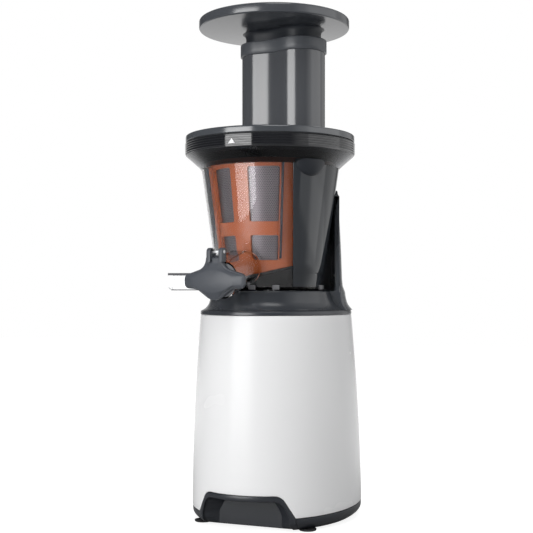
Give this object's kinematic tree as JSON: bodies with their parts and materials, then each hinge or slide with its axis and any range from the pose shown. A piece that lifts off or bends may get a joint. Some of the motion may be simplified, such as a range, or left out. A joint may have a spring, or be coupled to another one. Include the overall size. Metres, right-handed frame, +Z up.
{
  "type": "cold press juicer",
  "caption": "Upright cold press juicer: white oval motor base, clear bowl with strainer and scroll, hinged juice stopper, pulp chute, lid with feed tube and pusher.",
  "frame": {"origin": "middle of the bounding box of the whole juicer in plan, on the surface that its feet stand on; the drive axis is at x 7.3 mm, y -11.3 mm", "axes": "+Z up; -Y the front, with the finger recess and the juice spout; +X to the right when it is looked at from the front"},
  "size_m": [0.1666, 0.2075, 0.448],
  "materials": {
    "white_casing": "glossy",
    "slate_trim": "satin",
    "base_black": "satin",
    "smoked_gloss": "glossy",
    "clear_plastic": "clear, glossy",
    "smoked_clear": "smoked, glossy",
    "orange_plastic": "satin",
    "scroll_plastic": "satin",
    "stopper_grey": "satin",
    "tab_grey": "satin",
    "perforated_steel": "perforated",
    "steel": "ground",
    "laminations": "dull",
    "copper_wire": "enamelled",
    "die_cast": "as cast",
    "gear_nylon": "satin",
    "soft_rubber": "matte",
    "silicone": "matte",
    "rib_rubber": "satin",
    "board_green": "satin",
    "component_grey": "satin",
    "sintered_bronze": "dull"
  },
  "bodies": {
    "power_unit": {"body_shell": "white_casing", "base_pan": "base_black", "niche_frame": "base_black", "rubber_feet": "soft_rubber", "base_screws": "steel", "top_deck": "slate_trim", "rear_column": "slate_trim", "motor_stator": "laminations", "motor_windings": "copper_wire", "motor_lower_bracket": "die_cast", "motor_upper_bracket": "die_cast", "motor_bearings": "steel", "motor_mounts": "soft_rubber", "gearbox_housing": "die_cast", "gearbox_cover": "die_cast", "gearbox_screws": "steel", "counter_bushes": "sintered_bronze", "spindle_bearings": "steel", "spindle_seal": "soft_rubber", "control_board": "board_green", "run_capacitor": "component_grey", "switch_housing": "base_black", "cord_inlet": "soft_rubber", "interlock_switch": "component_grey"},
    "rotor": {"rotor_shaft": "steel", "rotor_core": "laminations", "cooling_fan": "component_grey", "motor_pinion": "steel"},
    "countershaft": {"stage_gear": "gear_nylon", "counter_pinion": "steel", "counter_shaft": "steel"},
    "spindle": {"output_gear": "gear_nylon", "drive_spindle": "steel"},
    "rocker": {"power_rocker": "base_black"},
    "interlock": {"interlock_plunger": "tab_grey"},
    "bowl_unit": {"bowl": "clear_plastic", "bowl_back_panel": "smoked_gloss", "bowl_collar": "smoked_clear", "bowl_base": "base_black", "screen_seal": "soft_rubber", "lock_tabs": "tab_grey", "pulp_chute": "clear_plastic", "hub_seal": "silicone", "stopper_pin": "steel", "screen_frame": "orange_plastic", "screen_mesh": "perforated_steel", "screen_ribs": "orange_plastic", "rib_seals": "rib_rubber"},
    "scroll_unit": {"scroll": "scroll_plastic", "drive_socket": "steel"},
    "stopper": {"juice_stopper": "stopper_grey", "stopper_seal": "silicone"},
    "gasket": {"lid_gasket": "soft_rubber"},
    "lid_unit": {"lid": "slate_trim", "feed_tube": "smoked_gloss", "scroll_bush": "steel"},
    "pusher": {"pusher_stem": "slate_trim", "pusher_cap": "slate_trim"}
  },
  "joints": [
    {"name": "rotor_spin", "type": "hinge", "parent": "power_unit", "child": "rotor", "pos_m": [0.0073, 0.04236, 0.08], "axis": [0, 0, 1], "continuous": true},
    {"name": "countershaft_spin", "type": "hinge", "parent": "power_unit", "child": "countershaft", "pos_m": [-0.0187, 0.02014, 0.14], "axis": [0, 0, 1], "continuous": true},
    {"name": "spindle_spin", "type": "hinge", "parent": "power_unit", "child": "spindle", "pos_m": [0.0073, -0.0113, 0.16], "axis": [0, 0, 1], "continuous": true},
    {"name": "rocker_tilt", "type": "hinge", "parent": "power_unit", "child": "rocker", "pos_m": [0.0073, 0.0927, 0.046], "axis": [1, 0, 0], "range_deg": [-10, 10]},
    {"name": "interlock_press", "type": "slide", "parent": "power_unit", "child": "interlock", "axis": [0, 0, -1], "range_m": [0, 0.003], "stiffness_N_per_m": 300},
    {"name": "bowl_lift", "type": "slide", "parent": "power_unit", "child": "bowl_unit", "axis": [0, 0, 1], "range_m": [0, 0.12]},
    {"name": "scroll_spin", "type": "hinge", "parent": "bowl_unit", "child": "scroll_unit", "pos_m": [0.0073, -0.0113, 0.27], "axis": [0, 0, 1], "continuous": true},
    {"name": "stopper_swing", "type": "hinge", "parent": "bowl_unit", "child": "stopper", "pos_m": [-0.00729, -0.09402, 0.2355], "axis": [-0.9848, 0.1736, 0], "range_deg": [0, 95]},
    {"name": "lid_lift", "type": "slide", "parent": "bowl_unit", "child": "gasket", "axis": [0, 0, 1], "range_m": [0, 0.1]},
    {"name": "lid_twist", "type": "hinge", "parent": "gasket", "child": "lid_unit", "pos_m": [0.0073, -0.0113, 0.338], "axis": [0, 0, 1], "range_deg": [0, 40]},
    {"name": "pusher_lift", "type": "slide", "parent": "lid_unit", "child": "pusher", "axis": [0, 0, 1], "range_m": [0, 0.1]}
  ],
  "couplings": [
    {"joint": "countershaft_spin", "follows": "rotor_spin", "ratio": -0.2},
    {"joint": "spindle_spin", "follows": "rotor_spin", "ratio": 0.042857},
    {"joint": "scroll_spin", "follows": "rotor_spin", "ratio": 0.042857}
  ]
}
